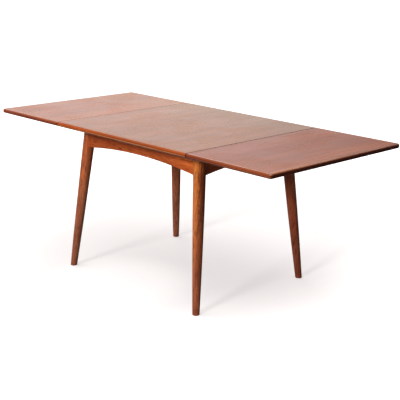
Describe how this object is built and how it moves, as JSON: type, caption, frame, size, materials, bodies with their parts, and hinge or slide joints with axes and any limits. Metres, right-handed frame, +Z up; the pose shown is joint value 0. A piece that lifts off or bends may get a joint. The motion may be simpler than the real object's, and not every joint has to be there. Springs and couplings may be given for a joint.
{
  "type": "drop-leaf dining table",
  "caption": "Teak dining table with a square centre top, hinged drop leaves at its ends, folding stays, arched aprons and splayed round legs.",
  "frame": {"origin": "on the floor, under the middle of the centre top", "axes": "+X along the table from the left leaf to the right leaf, +Y from the front long side to the back, +Z up"},
  "size_m": [1.773, 0.846, 0.72],
  "materials": {
    "teak_veneer": "satin oiled veneer",
    "teak_edging": "satin oiled solid edge",
    "frame_wood": "satin oiled solid wood",
    "plain_wood": "bare sawn wood",
    "brass": "dulled brass",
    "plated_steel": "plated pressed steel",
    "steel_screws": "slotted countersunk screws"
  },
  "bodies": {
    "frame": {"back_apron": "frame_wood", "back_left_corner_block": "plain_wood", "back_left_leg": "frame_wood", "back_right_corner_block": "plain_wood", "back_right_leg": "frame_wood", "front_apron": "frame_wood", "front_left_corner_block": "plain_wood", "front_left_leg": "frame_wood", "front_right_corner_block": "plain_wood", "front_right_leg": "frame_wood", "hinge_top_screws": "steel_screws", "left_apron": "frame_wood", "left_back_hinge_pin": "brass", "left_back_hinge_top_flap": "brass", "left_front_hinge_pin": "brass", "left_front_hinge_top_flap": "brass", "right_apron": "frame_wood", "right_back_hinge_pin": "brass", "right_back_hinge_top_flap": "brass", "right_front_hinge_pin": "brass", "right_front_hinge_top_flap": "brass", "stay_apron_brackets": "plated_steel", "stay_apron_pins": "plated_steel", "stay_apron_screws": "steel_screws", "top_back_lipping": "teak_edging", "top_fixing_screws": "steel_screws", "top_front_lipping": "teak_edging", "top_left_lipping": "teak_edging", "top_panel": "teak_veneer", "top_right_lipping": "teak_edging"},
    "left_leaf": {"left_back_hinge_leaf_flap": "brass", "left_front_hinge_leaf_flap": "brass", "left_leaf_back_lipping": "teak_edging", "left_leaf_front_lipping": "teak_edging", "left_leaf_inner_lipping": "teak_edging", "left_leaf_outer_lipping": "teak_edging", "left_leaf_panel": "teak_veneer", "left_leaf_screws": "steel_screws", "left_leaf_stay_brackets": "plated_steel", "left_leaf_stay_pins": "plated_steel"},
    "left_back_stay_lower": {"left_back_stay_lower_link": "plated_steel"},
    "left_back_stay_upper": {"left_back_stay_upper_link": "plated_steel"},
    "left_front_stay_lower": {"left_front_stay_lower_link": "plated_steel"},
    "left_front_stay_upper": {"left_front_stay_upper_link": "plated_steel"},
    "right_leaf": {"right_back_hinge_leaf_flap": "brass", "right_front_hinge_leaf_flap": "brass", "right_leaf_back_lipping": "teak_edging", "right_leaf_front_lipping": "teak_edging", "right_leaf_inner_lipping": "teak_edging", "right_leaf_outer_lipping": "teak_edging", "right_leaf_panel": "teak_veneer", "right_leaf_screws": "steel_screws", "right_leaf_stay_brackets": "plated_steel", "right_leaf_stay_pins": "plated_steel"},
    "right_back_stay_lower": {"right_back_stay_lower_link": "plated_steel"},
    "right_back_stay_upper": {"right_back_stay_upper_link": "plated_steel"},
    "right_front_stay_lower": {"right_front_stay_lower_link": "plated_steel"},
    "right_front_stay_upper": {"right_front_stay_upper_link": "plated_steel"}
  },
  "joints": [
    {"name": "left_leaf_drop", "type": "hinge", "parent": "frame", "child": "left_leaf", "pos_m": [-0.43, 0, 0.695], "axis": [0, -1, 0], "range_deg": [0, 90]},
    {"name": "left_front_stay_lower_pivot", "type": "hinge", "parent": "frame", "child": "left_front_stay_lower", "pos_m": [-0.40852, 0, 0.639], "axis": [0, 1, 0], "range_deg": [0, 83.29]},
    {"name": "left_front_stay_upper_pivot", "type": "hinge", "parent": "left_leaf", "child": "left_front_stay_upper", "pos_m": [-0.62, 0, 0.689], "axis": [0, -1, 0], "range_deg": [0, 6.71]},
    {"name": "left_back_stay_lower_pivot", "type": "hinge", "parent": "frame", "child": "left_back_stay_lower", "pos_m": [-0.40852, 0, 0.639], "axis": [0, 1, 0], "range_deg": [0, 83.29]},
    {"name": "left_back_stay_upper_pivot", "type": "hinge", "parent": "left_leaf", "child": "left_back_stay_upper", "pos_m": [-0.62, 0, 0.689], "axis": [0, -1, 0], "range_deg": [0, 6.71]},
    {"name": "right_leaf_drop", "type": "hinge", "parent": "frame", "child": "right_leaf", "pos_m": [0.43, 0, 0.695], "axis": [0, 1, 0], "range_deg": [0, 90]},
    {"name": "right_front_stay_lower_pivot", "type": "hinge", "parent": "frame", "child": "right_front_stay_lower", "pos_m": [0.40852, 0, 0.639], "axis": [0, -1, 0], "range_deg": [0, 83.29]},
    {"name": "right_front_stay_upper_pivot", "type": "hinge", "parent": "right_leaf", "child": "right_front_stay_upper", "pos_m": [0.62, 0, 0.689], "axis": [0, 1, 0], "range_deg": [0, 6.71]},
    {"name": "right_back_stay_lower_pivot", "type": "hinge", "parent": "frame", "child": "right_back_stay_lower", "pos_m": [0.40852, 0, 0.639], "axis": [0, -1, 0], "range_deg": [0, 83.29]},
    {"name": "right_back_stay_upper_pivot", "type": "hinge", "parent": "right_leaf", "child": "right_back_stay_upper", "pos_m": [0.62, 0, 0.689], "axis": [0, 1, 0], "range_deg": [0, 6.71]}
  ],
  "couplings": [
    {"joint": "left_front_stay_lower_pivot", "follows": "left_leaf_drop", "ratio": 0.92543},
    {"joint": "left_front_stay_upper_pivot", "follows": "left_leaf_drop", "ratio": 0.07456},
    {"joint": "left_back_stay_lower_pivot", "follows": "left_leaf_drop", "ratio": 0.92543},
    {"joint": "left_back_stay_upper_pivot", "follows": "left_leaf_drop", "ratio": 0.07456},
    {"joint": "right_front_stay_lower_pivot", "follows": "right_leaf_drop", "ratio": 0.92543},
    {"joint": "right_front_stay_upper_pivot", "follows": "right_leaf_drop", "ratio": 0.07456},
    {"joint": "right_back_stay_lower_pivot", "follows": "right_leaf_drop", "ratio": 0.92543},
    {"joint": "right_back_stay_upper_pivot", "follows": "right_leaf_drop", "ratio": 0.07456}
  ]
}
